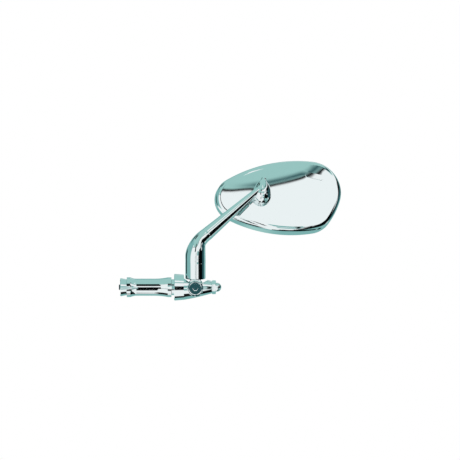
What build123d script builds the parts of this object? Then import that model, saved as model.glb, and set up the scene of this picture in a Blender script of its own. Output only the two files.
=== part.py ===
from build123d import *

import math
import os

# Bar-end motorcycle mirror, in millimetres and degrees.
# The origin is the centre of the collar's seat on the end of the handlebar. X runs out along the bar,
# Z is up and the glass faces +Y.

# Clearances
RUNNING = 0.05          # radial, shaft in hole
SEATED = 0.03           # between pieces that are clamped or pressed together
FREE = 0.3              # between pieces that move past each other
OVER = 1.0              # overshoot of the cutters

# Expander in the bore of the handlebar
BAR_OD = 22.2           # outside diameter of the bar and of the collar's seat
BAR_WALL = 2.6          # wall of the bar at its end
SLEEVE_LENGTH = 37.0
SLEEVE_LAND = 3.0
WAIST_DROP = 1.1        # from the end lands down to the waist
INNER_FLARE = 5.0       # length of the flare at the end deep in the bar
OUTER_FLARE = 11.0
SLEEVE_BORE_R = 4.4
SEGMENTS = 3
SLIT = 1.4
NOTCH_DEPTH = 5.0       # the slits open into a notch at each end
NOTCH_WIDTH = 3.4
CONE_TAPER = 0.2        # radius gained for each millimetre of length
SLEEVE_RIM = 1.6        # from the end lands down to the big end of the fixed cone
CONE_LAND = 2.0
CONE_LENGTH = 11.0
CONE_GAP = 0.4          # from the cones to the segments while the expander is slack
NUT_OUTSIDE = 5.5       # length of the cone nut that stands out of the sleeve
NUT_INSIDE = 9.0
NUT_KEY = 1.0           # width of the key that stops the cone nut from turning
DRAW_R = 2.5            # draw screw, M5
DRAW_TIP = 1.1          # end of the draw screw that stands out of the cone nut
DRAW_SEAT = 2.4         # washer seat inside the collar
DRAW_TRAVEL = 4.0       # pull of the cone nut from slack to tight
DRAW_HEAD = (4.25, 5.0, 4.0, 2.6)       # head radius and height, socket width and depth
DRAW_WASHER = (4.4, 1.0)                # radius and thickness

# Clamp body
COLLAR_LENGTH = 8.1
COLLAR_BACK_R = 10.45   # radius of the body behind the collar
LUG_END = 31.2          # outer end of the body, where the cap nut seats
LUG_END_R = 5.1
PIVOT_X = 17.6
BODY_R = 8.6            # radius of the body under the pivot
EAR_R = 6.6
EAR_FRONT = 11.4        # front and rear faces of the ears, from the middle of the tongue
EAR_REAR = 10.6
SOFT_EDGE = 0.5         # broken edges of the castings

# Pivot
PIVOT_R = 3.0           # M6
PIVOT_HEAD = (5.0, 4.0, 4.0, 2.2)       # head radius and height, socket width and depth
PIVOT_SINK = 1.0        # how far the head lies below the face of the ear
PIVOT_NUT = (10.0, 4.6)                 # width across flats and height
COUNTERBORE_R = 5.6
TONGUE_R = 6.0
TONGUE_THICK = 6.4
TONGUE_NECK = 9.0       # width of the tongue between its round end and the stem
THRUST_THICK = 1.0
THRUST_R = 5.7
BUSH_R = 4.0
LEAN_IN = 4.0           # travel of the stem towards the collar
LEAN_OUT = 10.0         # and towards the lug
LEAN_SPARE = 1.5        # angle left free past each end of the travel

# Friction adjuster in the lug
STUD_R = 3.0            # M6
STUD_LENGTH = 10.4
PAD_LENGTH = 3.0
CAP_FLATS = 10.0
CAP_HEX = 3.4
CAP_DOME_R = 3.75
CAP_NECK = 0.7

# Stem and arm
STEM_R = 8.4
SHOULDER = 7.0          # height of the stem's lower face above the pivot
STEM_STRAIGHT = 26.0    # height at which the outer side of the stem starts to turn
BEND_HEIGHT = 36.0      # height at which the lines of stem and arm cross
BEND_CORNER = 2.5       # radius of the inner corner of the bend
BEND_LOW_R = 7.4        # radius of the section where the inner corner starts
BEND_R = 6.1            # and of the one on the bisector of the bend
BEND_LEAD = 6.0         # length of the straight lead into the bend and out of it
ARM_R = 5.75            # radius of the arm just past the bend
ARM_END_R = 2.5

# Swivel: a ball under the foot of the arm, in head coordinates
BALL_R = 3.5
NECK_R = 2.0
NECK_PRESS = 2.4        # depth of the neck in the foot
LINER = 0.7             # wall of the ball's liners
FRONT_LINER = (0.7, 2.4)                # edges of the front liner above the centre of the ball
REAR_LINER = 1.4        # edge of the rear liner below it
SEAT_R = 7.8            # radius of the seat's dome where it meets the shell
SPIGOT_R = 6.2
SPIGOT_GAP = 0.8        # from the end of the seat's spigot to the retainer's plate
SWIVEL = 10.0           # tilt and pan each way
FOOT_R = 8.0
FOOT_HEIGHT = 3.0       # centre of the foot's round end above the shell
FOOT_LOBE_R = 7.7       # radius of the lobe that narrows from there to the tip
TIP = (2.2, 13.3, 5.5)  # centre of the foot's tip
TIP_R = 2.2
ARM_END = (-3.2, 3.8, 7.5)
CUP_WALL = 1.0
SPRING = (3.9, 1.6, 0.4, 0.7)           # outer and inner radius, thickness and height
PLATE_R = 13.0
PLATE_THICK = 1.0
SCREW_R = 1.5           # M3
SCREW_HEAD = (2.7, 1.5)                 # head radius and height
SCREW_LENGTH = 5.0
SCREW_CIRCLE = 10.2
POST_R = 2.7

# Head
HEAD_AT = (72.2, 33.6, 72.9)            # back of the shell on the swivel's axis
HEAD_PAN = 10.0         # the back of the head is turned outwards
HEAD_PITCH = 20.0       # and upwards
SHELL_DEPTH = 14.2      # from the back on the swivel's axis to the rim
SHELL_WALL = 1.6
BACK_R = 280.0          # crown of the back
CROWN_AT = (16.0, 0.0)
EDGE_R = 4.4            # rounding between back and side wall
NOSE = (-18.8, 0.3, 18.3)               # corner circles of the outline: centre and radius
UPPER_CORNER = (44.4, 5.8, 25.6)
LOWER_CORNER = (41.3, -7.3, 22.0)
TOP_R = 131.0           # arcs that join the corners
OUTER_R = 72.0
BOTTOM_R = 115.0
PILL = (16.0, 4.6, 0.45)                # length, width and height of the raised pill
PILL_AT = (47.0, 17.4, -12.0)           # centre and turn
GLASS_THICK = 2.0
GLASS_R = 1200.0        # convex mirror
GLASS_SINK = 0.6        # crown of the glass below the rim
GASKET_WALL = 1.0
GASKET_LIP = 2.2        # overlap of the gasket on the glass
GASKET_BACK = 0.6       # rubber behind the glass
PAD_THICK = 0.5
PAD_MARGIN = 9.0

# Worked out from the sizes above
SLEEVE_END_R = BAR_OD / 2 - BAR_WALL - FREE     # the two end lands, a clearance fit in the bar
WAIST_R = SLEEVE_END_R - WAIST_DROP
CONE_R = SLEEVE_END_R - SLEEVE_RIM
SLEEVE_OUT = -(DRAW_TRAVEL / 2 + FREE)          # the sleeve slides half as far as the cone nut
SLEEVE_IN = SLEEVE_OUT - SLEEVE_LENGTH
CONE_SLANT = math.hypot(1, CONE_TAPER)
SLOT_HALF = TONGUE_THICK / 2 + THRUST_THICK + 2 * SEATED
SLOT_R = TONGUE_R + FREE
CORNER_ANGLE = math.degrees(math.atan2(SHOULDER, STEM_R))
CORNER_R = math.hypot(SHOULDER, STEM_R)
PAD_END = PIVOT_X + TONGUE_R + PAD_LENGTH
SWIVEL_BOTH = math.degrees(math.acos(math.cos(math.radians(SWIVEL)) ** 2))
LINER_R = BALL_R + RUNNING + LINER
CAVITY_R = LINER_R + RUNNING
GLASS_SAG = (CROWN_AT[0] + SCREW_CIRCLE + SCREW_HEAD[0]) ** 2 / (2 * GLASS_R)
GLASS_BACK = SHELL_DEPTH - GLASS_SINK - GLASS_THICK - GLASS_SAG        # depth behind the retainer's screws
PLATE_TOP = GLASS_BACK - FREE - SCREW_HEAD[1] - PLATE_THICK - 2 * SEATED
SPIGOT_DEPTH = PLATE_TOP - SPIGOT_GAP
CUP_DEPTH = PLATE_TOP - SPRING[3] - 2 * SEATED
BALL_DEPTH = CUP_DEPTH - CUP_WALL - CAVITY_R    # from the back of the shell to the centre of the ball


def rod_x(radius, start, end):
    """Round bar on the bar's axis."""
    return Pos((start + end) / 2, 0, 0) * Rot(0, 90, 0) * Cylinder(radius, end - start)


def disc_y(radius, start, end):
    """Round bar on the pivot's axis."""
    return Pos(PIVOT_X, (start + end) / 2, 0) * Rot(90, 0, 0) * Cylinder(radius, end - start)


def rod_z(radius, start, end):
    """Round bar on the local Z axis."""
    return Pos(0, 0, (start + end) / 2) * Cylinder(radius, end - start)


def hexagon(flats, height):
    """Hexagonal prism that stands on the XY plane."""
    return extrude(RegularPolygon(flats / 2, 6, major_radius=False), height)


def turned_x(profile):
    """Solid turned about the bar's axis from a closed profile in the XY plane."""
    return revolve(make_face(profile), Axis.X)


def turned_z(*points):
    """Solid turned about the local Z axis from corners given as radius and height."""
    return revolve(Plane.XZ * make_face(Polyline(*points, close=True)), Axis.Z)


def socket_screw(radius, length, head):
    """Socket-head screw whose head stands on the XY plane, with its thread below."""
    head_r, head_height, socket, socket_depth = head
    screw = rod_z(radius, -length, 0) + rod_z(head_r, 0, head_height)
    screw = chamfer(screw.edges().sort_by(Axis.Z)[-1], SOFT_EDGE)
    screw = chamfer(screw.edges().sort_by(Axis.Z)[0], SOFT_EDGE)
    return screw - Pos(0, 0, head_height - socket_depth) * hexagon(socket, socket_depth)


# Expander


def fixed_cone_radius(x):
    """Radius of the clamp body's cone at a place along the bar."""
    return CONE_R + CONE_TAPER * (x + CONE_LAND)


def nut_cone_radius(x):
    """Radius of the cone nut, which matches the fixed cone end for end."""
    return fixed_cone_radius(SLEEVE_OUT) + CONE_TAPER * (SLEEVE_IN - x)


def sleeve_segment(index):
    """One of the segments of the split sleeve; a slit faces straight forward."""
    mouth = fixed_cone_radius(SLEEVE_OUT) + CONE_GAP * CONE_SLANT
    run = (mouth - SLEEVE_BORE_R) / CONE_TAPER
    inner_waist = SLEEVE_IN + SLEEVE_LAND + INNER_FLARE
    outer_waist = SLEEVE_OUT - SLEEVE_LAND - OUTER_FLARE
    profile = [
        Line((SLEEVE_IN, mouth), (SLEEVE_IN, SLEEVE_END_R)),
        Line((SLEEVE_IN, SLEEVE_END_R), (SLEEVE_IN + SLEEVE_LAND, SLEEVE_END_R)),
        TangentArc((inner_waist, WAIST_R), (SLEEVE_IN + SLEEVE_LAND, SLEEVE_END_R), tangent=(-1, 0)),
        Line((inner_waist, WAIST_R), (outer_waist, WAIST_R)),
        TangentArc((outer_waist, WAIST_R), (SLEEVE_OUT - SLEEVE_LAND, SLEEVE_END_R), tangent=(1, 0)),
        Line((SLEEVE_OUT - SLEEVE_LAND, SLEEVE_END_R), (SLEEVE_OUT, SLEEVE_END_R)),
        Line((SLEEVE_OUT, SLEEVE_END_R), (SLEEVE_OUT, mouth)),
        Polyline((SLEEVE_OUT, mouth), (SLEEVE_OUT - run, SLEEVE_BORE_R), (SLEEVE_IN + run, SLEEVE_BORE_R),
                 (SLEEVE_IN, mouth)),
    ]
    pitch = 360 / SEGMENTS
    segment = revolve(make_face(profile), Axis.X, pitch)
    half_slit = slit_tool()
    segment = segment - half_slit - Rot(pitch, 0, 0) * half_slit
    return Rot(180 + index * pitch, 0, 0) * segment


def slit_tool():
    """Cutter for one slit with its two notches, on the +Y side of the bar's axis."""
    reach = SLEEVE_END_R + OVER
    notch = NOTCH_WIDTH / 2
    outline = Polyline(
        (SLEEVE_IN, -notch), (SLEEVE_IN + NOTCH_DEPTH, -SLIT / 2), (SLEEVE_OUT - NOTCH_DEPTH, -SLIT / 2),
        (SLEEVE_OUT, -notch), (SLEEVE_OUT, notch), (SLEEVE_OUT - NOTCH_DEPTH, SLIT / 2),
        (SLEEVE_IN + NOTCH_DEPTH, SLIT / 2), (SLEEVE_IN, notch), close=True)
    return extrude(Plane.XZ * make_face(outline), -reach)


def cone_nut():
    """Cone at the inner end of the sleeve, with a key in one slit."""
    outer = SLEEVE_IN - NUT_OUTSIDE
    tip = SLEEVE_IN + NUT_INSIDE
    body = turned_x(Polyline((outer, 0), (outer, nut_cone_radius(outer)), (tip, nut_cone_radius(tip)),
                             (tip, 0), close=True))
    body = chamfer(body.edges().sort_by(Axis.X)[0], SOFT_EDGE)
    key_start = SLEEVE_IN - SOFT_EDGE
    key_end = SLEEVE_IN + NOTCH_DEPTH
    key_top = (SLEEVE_END_R + nut_cone_radius(SLEEVE_IN)) / 2
    key = Pos((key_start + key_end) / 2, key_top / 2, 0) * Box(key_end - key_start, key_top, NUT_KEY)
    body += Rot(180 + 360 / SEGMENTS, 0, 0) * key
    return body - rod_x(DRAW_R + RUNNING, outer - OVER, tip + OVER)


def draw_screw():
    """Long socket-head screw that pulls the cone nut into the sleeve."""
    seat = DRAW_SEAT + DRAW_WASHER[1] + 2 * SEATED
    length = seat - SLEEVE_IN + NUT_OUTSIDE + DRAW_TIP
    return Pos(seat, 0, 0) * Rot(0, 90, 0) * socket_screw(DRAW_R, length, DRAW_HEAD)


def draw_washer():
    """Washer under the head of the draw screw."""
    radius, thickness = DRAW_WASHER
    start = DRAW_SEAT + SEATED
    return rod_x(radius, start, start + thickness) - rod_x(DRAW_R + RUNNING, 0, LUG_END)


# Clamp body and pivot


def clamp_body():
    """Collar, hinge ears and lug in one casting, with the fixed cone of the expander."""
    tip = -CONE_LENGTH
    flank = ThreePointArc((COLLAR_LENGTH, COLLAR_BACK_R), (PIVOT_X, BODY_R), (LUG_END, LUG_END_R))
    edge = SOFT_EDGE
    profile = [
        Polyline((LUG_END, LUG_END_R), (LUG_END, 0), (tip, 0), (tip, fixed_cone_radius(tip)),
                 (-CONE_LAND, CONE_R), (0, CONE_R), (0, BAR_OD / 2 - edge), (edge, BAR_OD / 2),
                 (COLLAR_LENGTH, COLLAR_BACK_R)),
        flank,
    ]
    body = turned_x(profile) - stem_relief()
    for face, inner in ((-EAR_FRONT, -SLOT_HALF), (EAR_REAR, SLOT_HALF)):
        ear = disc_y(EAR_R, min(face, inner), max(face, inner))
        rim = ear.edges().sort_by(Axis.Y)[0 if face < 0 else -1]
        body += chamfer(rim, SOFT_EDGE)
    body -= tongue_slot()
    body -= disc_y(PIVOT_R + RUNNING, -EAR_FRONT, EAR_REAR)
    body -= disc_y(COUNTERBORE_R, -EAR_FRONT, head_seat())
    nut_pocket = Rot(90, 0, 0) * hexagon(PIVOT_NUT[0] + 2 * RUNNING, EAR_REAR)
    body -= Pos(PIVOT_X, nut_seat() + EAR_REAR, 0) * nut_pocket
    body -= rod_x(DRAW_R + FREE, tip - OVER, PIVOT_X)
    body -= rod_x(DRAW_WASHER[0] + RUNNING, DRAW_SEAT, PIVOT_X)
    return body - rod_x(STUD_R + RUNNING, PIVOT_X, LUG_END + OVER)


def head_seat():
    """Y of the pivot screw's seat in the front ear."""
    return -EAR_FRONT + PIVOT_SINK + PIVOT_HEAD[1]


def nut_seat():
    """Y of the pivot nut's seat in the rear ear."""
    return EAR_REAR - PIVOT_NUT[1] - SEATED


def stem_relief():
    """Room above the body for the stem's shoulder through its whole lean."""
    inward = math.radians(CORNER_ANGLE - LEAN_IN - LEAN_SPARE)
    outward = math.radians(CORNER_ANGLE - LEAN_OUT - LEAN_SPARE)
    reach = CORNER_R + FREE
    top = BAR_OD
    outline = Polyline(
        (COLLAR_LENGTH, top), (COLLAR_LENGTH, (PIVOT_X - COLLAR_LENGTH) * math.tan(inward)), (PIVOT_X, 0),
        (PIVOT_X + reach * math.cos(outward), reach * math.sin(outward)),
        (PIVOT_X + reach * math.cos(outward), top), close=True)
    return extrude(Plane.XZ * make_face(outline), BAR_OD, both=True)


def tongue_slot():
    """Slot between the ears, round about the pivot and open at the top."""
    slot = disc_y(SLOT_R, -SLOT_HALF, SLOT_HALF)
    lean = math.radians(LEAN_OUT + LEAN_SPARE)
    width = 2 * (SLOT_R * math.cos(lean) + SHOULDER * math.sin(lean) + FREE)
    return slot + Pos(PIVOT_X, 0, SHOULDER) * Box(width, 2 * SLOT_HALF, 2 * SHOULDER) - below_relief()


def below_relief():
    """The part of the slot's upper box that has to stay in the body beside the stud."""
    height = SLOT_R * math.sin(math.radians(CORNER_ANGLE - LEAN_OUT - LEAN_SPARE))
    block = Pos(PIVOT_X, 0, height / 2) * Box(4 * SLOT_R, 4 * SLOT_HALF, height)
    return block - disc_y(SLOT_R, -SLOT_HALF, SLOT_HALF)


def pivot_screw():
    """Socket-head screw from the front ear to the nut in the rear one."""
    length = EAR_REAR - head_seat() - SEATED
    return Pos(PIVOT_X, head_seat() - SEATED, 0) * Rot(90, 0, 0) * socket_screw(PIVOT_R, length, PIVOT_HEAD)


def pivot_nut():
    """Hexagonal nut in the pocket of the rear ear."""
    flats, height = PIVOT_NUT
    seat = nut_seat() + SEATED
    nut = Pos(PIVOT_X, seat + height, 0) * Rot(90, 0, 0) * hexagon(flats, height)
    return nut - disc_y(PIVOT_R + RUNNING, seat, EAR_REAR + OVER)


def pivot_bush():
    """Bronze bush pressed into the tongue."""
    half = TONGUE_THICK / 2
    return disc_y(BUSH_R - SEATED, -half, half) - disc_y(PIVOT_R + RUNNING, -half, half)


def thrust_washers():
    """A washer on each side of the tongue."""
    inner = TONGUE_THICK / 2 + SEATED
    outer = inner + THRUST_THICK
    front = disc_y(THRUST_R, -outer, -inner)
    rear = disc_y(THRUST_R, inner, outer)
    return [ring - disc_y(PIVOT_R + RUNNING, -EAR_FRONT, EAR_REAR) for ring in (front, rear)]


# Friction adjuster


def friction_pad():
    """Pad that bears on the round end of the tongue."""
    pad = rod_x(STUD_R, PIVOT_X, PAD_END)
    return pad - disc_y(TONGUE_R + RUNNING, -EAR_FRONT, EAR_REAR)


def adjuster_stud():
    """Threaded stud that presses the pad, with a slot for a screwdriver."""
    start = PAD_END + SEATED
    stud = rod_x(STUD_R, start, start + STUD_LENGTH)
    stud = chamfer(stud.edges().sort_by(Axis.X)[-1], SOFT_EDGE)
    slot = Box(2 * SOFT_EDGE, 2 * STUD_R, 2 * SOFT_EDGE)
    return stud - Pos(start + STUD_LENGTH, 0, 0) * slot


def cap_nut():
    """Low domed nut that locks the stud."""
    start = LUG_END + SEATED
    dome_start = start + CAP_HEX
    dome_centre = dome_start + CAP_NECK
    face_r = CAP_FLATS / 2
    corner_r = face_r + 2 * SOFT_EDGE
    blank = turned_x(Polyline((start, 0), (start, face_r), (start + SOFT_EDGE, corner_r),
                              (dome_start - SOFT_EDGE, corner_r), (dome_start, face_r), (dome_start, 0),
                              close=True))
    nut = blank & Pos(start, 0, 0) * Rot(0, 90, 0) * hexagon(CAP_FLATS, CAP_HEX)
    nut += rod_x(CAP_DOME_R, dome_start - SOFT_EDGE, dome_centre)
    nut += Pos(dome_centre, 0, 0) * Sphere(CAP_DOME_R)
    return nut - rod_x(STUD_R + RUNNING, start - OVER, PAD_END + STUD_LENGTH + FREE)


# Head


def head_plane():
    """Plane of the head: X along the glass, Y up the glass, Z out of the back of the shell."""
    turn = Rot(0, 0, HEAD_PAN) * Rot(90 - HEAD_PITCH, 0, 0)
    return Plane(Pos(*HEAD_AT) * turn)


def tangent_centre(first, second, radius):
    """Centre of the big arc that runs clockwise round the outside of two corner circles."""
    (ax, ay, ar), (bx, by, br) = first, second
    span = math.hypot(bx - ax, by - ay)
    to_a, to_b = radius - ar, radius - br
    along = (to_a ** 2 - to_b ** 2 + span ** 2) / (2 * span)
    across = math.sqrt(to_a ** 2 - along ** 2)
    ux, uy = (bx - ax) / span, (by - ay) / span
    return Vector(ax + ux * along + uy * across, ay + uy * along - ux * across)


def arc_between(centre, radius, start, end):
    """Arc from start to end about a centre, the short way round."""
    middle = ((start - centre).normalized() + (end - centre).normalized()).normalized()
    return ThreePointArc(start, centre + middle * radius, end)


def head_outline(inset):
    """Outline of the head in its own plane, drawn in by inset all round."""
    corners = [NOSE, UPPER_CORNER, LOWER_CORNER]
    edges = []
    sides = []
    for index, radius in enumerate((TOP_R, OUTER_R, BOTTOM_R)):
        first, second = corners[index], corners[(index + 1) % 3]
        centre = tangent_centre(first, second, radius)
        outward = [(Vector(*corner[:2]) - centre).normalized() for corner in (first, second)]
        ends = [centre + direction * (radius - inset) for direction in outward]
        sides.append(ends)
        edges.append(arc_between(centre, radius - inset, *ends))
    for index, corner in enumerate(corners):
        start = sides[index - 1][1]
        edges.append(arc_between(Vector(*corner[:2]), corner[2] - inset, start, sides[index][0]))
    return make_face(edges)


def side_ball(radius):
    """Ball with its poles at the top and bottom of the head, away from the faces that show."""
    return Rot(90, 0, 0) * Sphere(radius)


def crown(radius_change):
    """Ball whose surface is the crowned back of the shell, or parallel to it."""
    drop = math.sqrt(BACK_R ** 2 - CROWN_AT[0] ** 2 - CROWN_AT[1] ** 2)
    return Pos(*CROWN_AT, -drop) * side_ball(BACK_R + radius_change)


def dish(inset, rim):
    """Solid form of the head from a rim height up to the crowned back."""
    block = Pos(0, 0, rim) * extrude(head_outline(inset), SHELL_DEPTH * 2)
    form = block & crown(-inset)
    back = form.faces().sort_by(Axis.Z)[-1]
    return fillet(back.edges(), EDGE_R - inset)


def screw_places():
    """Places of the retainer screws round the swivel."""
    return PolarLocations(SCREW_CIRCLE, 3, start_angle=90)


def mirror_shell():
    """Chromed dish with posts for the retainer inside and a bare raised pill on its back."""
    rim = -SHELL_DEPTH
    shell = dish(0, rim) - dish(SHELL_WALL, rim - OVER)
    posts = [place * rod_z(POST_R, -PLATE_TOP, -SHELL_WALL / 2) for place in screw_places()]
    shell += posts
    length, width, height = PILL
    pill = extrude(SlotOverall(length, width), SHELL_DEPTH, both=True)
    pill = Pos(*PILL_AT[:2], 0) * Rot(0, 0, PILL_AT[2]) * pill
    shell += (pill & crown(height)) - crown(-SHELL_WALL / 2)
    shell -= rod_z(SEAT_R + RUNNING, -seat_sink(), SHELL_DEPTH)
    shell -= rod_z(SPIGOT_R + RUNNING, -SHELL_DEPTH, SHELL_DEPTH)
    hole = rod_z(SCREW_R + RUNNING, -PLATE_TOP - OVER, -PLATE_TOP + SCREW_LENGTH)
    return shell - [place * hole for place in screw_places()]


def seat_sink():
    """Depth of the flat on the shell's back under the swivel seat."""
    rise = BACK_R - math.sqrt(BACK_R ** 2 - SEAT_R ** 2)
    return rise + SEAT_R * math.hypot(*CROWN_AT) / BACK_R


def seat_dome_r():
    """Radius of the seat's dome about the centre of the ball."""
    return math.hypot(SEAT_R, BALL_DEPTH)


def at_ball(shape):
    """A shape moved to the centre of the ball."""
    return Pos(0, 0, -BALL_DEPTH) * shape


def swivel_seat():
    """Domed seat on the shell's back, with a spigot through the shell and the ball's cavity inside."""
    dome = at_ball(Sphere(seat_dome_r())) & rod_z(SEAT_R, SEATED - seat_sink(), 2 * SEAT_R)
    seat = dome + rod_z(SPIGOT_R, -SPIGOT_DEPTH, 0)
    lean = math.radians(SWIVEL_BOTH)
    mouth = NECK_R / math.cos(lean) + FREE
    height = seat_dome_r() + OVER
    seat -= at_ball(Sphere(CAVITY_R))
    seat -= at_ball(turned_z((0, 0), (mouth, 0), (mouth + height * math.tan(lean), height), (0, height)))
    return seat - rod_z(CAVITY_R, -SPIGOT_DEPTH - OVER, -BALL_DEPTH)


def liner(low, high):
    """Spherical acetal liner on the ball between two heights from its centre."""
    wall = Sphere(LINER_R) - Sphere(BALL_R + RUNNING)
    return at_ball(wall & rod_z(LINER_R, low, high))


def pressure_cup():
    """Cup that presses the rear liner on the ball."""
    cup = rod_z(CAVITY_R - RUNNING, -CUP_DEPTH, -BALL_DEPTH - LINER_R / 2)
    return cup - at_ball(Sphere(CAVITY_R))


def seat_spring():
    """Disc spring between the cup and the plate."""
    outer, inner, thick, height = SPRING
    low = -CUP_DEPTH - SEATED - height
    rise = height - thick
    return turned_z((inner, low + rise), (outer, low), (outer, low + thick), (inner, low + height))


def retainer_plate():
    """Plate that holds the spring, screwed to the posts of the shell."""
    plate = rod_z(PLATE_R, -PLATE_TOP - SEATED - PLATE_THICK, -PLATE_TOP - SEATED)
    holes = [place * rod_z(SCREW_R + RUNNING, -SHELL_DEPTH, 0) for place in screw_places()]
    return plate - holes - rod_z(SPRING[1], -SHELL_DEPTH, 0)


def retainer_screws():
    """Three small pan-head screws."""
    head_r, head_height = SCREW_HEAD
    top = -PLATE_TOP - 2 * SEATED - PLATE_THICK
    screw = rod_z(SCREW_R, top, top + SCREW_LENGTH) + rod_z(head_r, top - head_height, top)
    screw = chamfer(screw.edges().sort_by(Axis.Z)[0], SCREW_R / 4)
    return [place * screw for place in screw_places()]


def bent_plate(inset, grow):
    """The convex glass, or a slightly larger form of it, from the outline drawn in by inset."""
    crest = -SHELL_DEPTH + GLASS_SINK - grow
    centre = Pos(*CROWN_AT, crest + GLASS_R)
    block = Pos(0, 0, -2 * SHELL_DEPTH) * extrude(head_outline(inset), 2 * SHELL_DEPTH)
    return (block & centre * side_ball(GLASS_R)) - centre * side_ball(GLASS_R - GLASS_THICK - 2 * grow)


def glass_inset():
    """Gap between the head's outline and the edge of the glass."""
    return SHELL_WALL + SEATED + GASKET_WALL + SEATED


def mirror_glass():
    """Convex silvered glass."""
    return bent_plate(glass_inset(), 0)


def glass_gasket():
    """Rubber channel round the edge of the glass."""
    inset = SHELL_WALL + SEATED
    rim = -SHELL_DEPTH
    sag = GLASS_R - math.sqrt(GLASS_R ** 2 - (UPPER_CORNER[0] + UPPER_CORNER[2] - CROWN_AT[0]) ** 2)
    height = GLASS_SINK + sag + GLASS_THICK + GASKET_BACK
    window = head_outline(inset + GASKET_WALL + GASKET_LIP)
    ring = extrude(head_outline(inset), height) - extrude(window, height)
    return Pos(0, 0, rim) * ring - bent_plate(glass_inset() - SEATED, SEATED)


def backing_pad():
    """Foam pad on the back of the glass."""
    centre = Pos(*CROWN_AT, -SHELL_DEPTH + GLASS_SINK + GLASS_R)
    inner = GLASS_R - GLASS_THICK - SEATED
    block = Pos(0, 0, -2 * SHELL_DEPTH) * extrude(head_outline(PAD_MARGIN), 2 * SHELL_DEPTH)
    pad = (block & centre * side_ball(inner)) - centre * side_ball(inner - PAD_THICK)
    screw_room = PLATE_R + FREE
    return pad - rod_z(screw_room, -2 * SHELL_DEPTH, 0)


# Arm


def ball_stud():
    """Ball on a neck that is pressed into the foot."""
    top = foot_cavity_r() + NECK_PRESS
    return at_ball(Sphere(BALL_R) + rod_z(NECK_R, 0, top))


def foot_cavity_r():
    """Radius of the hollow under the foot, about the centre of the ball."""
    return seat_dome_r() + FREE


def foot():
    """Drop-shaped foot of the arm in head coordinates, hollow below to follow the seat's dome."""
    heel = Vector(0, 0, FOOT_HEIGHT)
    along = Vector(*TIP) - heel
    corner = TIP_R * math.sqrt(0.5)
    profile = [
        Polyline((0, along.length + TIP_R), (0, 0), (FOOT_LOBE_R, 0)),
        TangentArc((FOOT_LOBE_R, 0), (TIP_R, along.length), tangent=(0, 1)),
        ThreePointArc((TIP_R, along.length), (corner, along.length + corner), (0, along.length + TIP_R)),
    ]
    lobe = Plane(heel, z_dir=along) * revolve(Plane.XZ * make_face(profile), Axis.Z)
    drop = lobe + Pos(0, 0, FOOT_HEIGHT) * Sphere(FOOT_R)
    lean = math.radians(SWIVEL_BOTH)
    low = (BALL_DEPTH + FREE) / math.cos(lean)
    reach = along.length + 2 * FOOT_R
    under = at_ball(turned_z((0, -FOOT_R), (0, low), (reach, low + reach * math.tan(lean)), (reach, -FOOT_R)))
    return drop - under - at_ball(Sphere(foot_cavity_r()))


def arm_line():
    """Crossing of the stem's and the arm's lines, the arm's end and the tip of the foot, in the row frame."""
    crossing = Vector(PIVOT_X, 0, BEND_HEIGHT)
    plane = head_plane()
    return crossing, plane.from_local_coords(Vector(*ARM_END)), plane.from_local_coords(Vector(*TIP))


def taper(start, end, start_r, end_r):
    """Round tapered bar between two points."""
    along = end - start
    return Plane(start, z_dir=along) * Pos(0, 0, along.length / 2) * Cone(start_r, end_r, along.length)


def bend_sections(crossing, along):
    """Round sections that carry the stem through the bend; those in the bend share its inner corner."""
    up = Vector(0, 0, 1)
    flank = up.cross(along).normalized()
    side = flank.cross(up)
    turn = math.acos(along.dot(up))
    rise = ((STEM_R + BEND_CORNER) * math.cos(turn) - BEND_CORNER - ARM_R) / math.sin(turn)
    corner = crossing + side * (STEM_R + BEND_CORNER) + up * rise
    sections = []
    for height in (STEM_STRAIGHT - BEND_LEAD, STEM_STRAIGHT):
        sections.append(Plane((PIVOT_X, 0, height), x_dir=flank, z_dir=up) * Circle(STEM_R))
    for angle, radius in ((0, BEND_LOW_R), (turn / 2, BEND_R), (turn, ARM_R)):
        outward = up * math.sin(angle) - side * math.cos(angle)
        centre = corner + outward * (BEND_CORNER + radius)
        onward = up * math.cos(angle) + side * math.sin(angle)
        sections.append(Plane(centre, x_dir=flank, z_dir=onward) * Circle(radius))
    return sections, centre, flank


def mirror_arm():
    """One casting from the hinge tongue to the foot on the swivel."""
    crossing, end, tip = arm_line()
    along = (end - crossing).normalized()
    sections, start, flank = bend_sections(crossing, along)
    lead_end = start + along * BEND_LEAD
    lead_r = ARM_R - (ARM_R - ARM_END_R) * BEND_LEAD / (end - start).length
    sections.append(Plane(lead_end, x_dir=flank, z_dir=along) * Circle(lead_r))
    stem = Pos(PIVOT_X, 0, 0) * rod_z(STEM_R, SHOULDER, STEM_STRAIGHT - BEND_LEAD)
    stem = chamfer(stem.edges().sort_by(Axis.Z)[0], SOFT_EDGE)
    arm = stem + loft(sections)
    arm += taper(lead_end, end, lead_r, ARM_END_R)
    arm += Pos(*end) * Sphere(ARM_END_R)
    arm += taper(end, tip, ARM_END_R, TIP_R)
    arm += head_plane() * foot()
    half = TONGUE_THICK / 2
    tongue = disc_y(TONGUE_R, -half, half)
    tongue += Pos(PIVOT_X, 0, SHOULDER / 2) * Box(TONGUE_NECK, TONGUE_THICK, SHOULDER)
    arm += tongue
    arm -= disc_y(BUSH_R, -half, half)
    neck = at_ball(rod_z(NECK_R + SEATED, 0, foot_cavity_r() + NECK_PRESS + SEATED))
    return arm - head_plane() * neck


def in_head(shape):
    """A piece, or a list of pieces, moved from head coordinates to the row frame."""
    plane = head_plane()
    if isinstance(shape, list):
        return [plane * piece for piece in shape]
    return plane * shape


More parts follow.
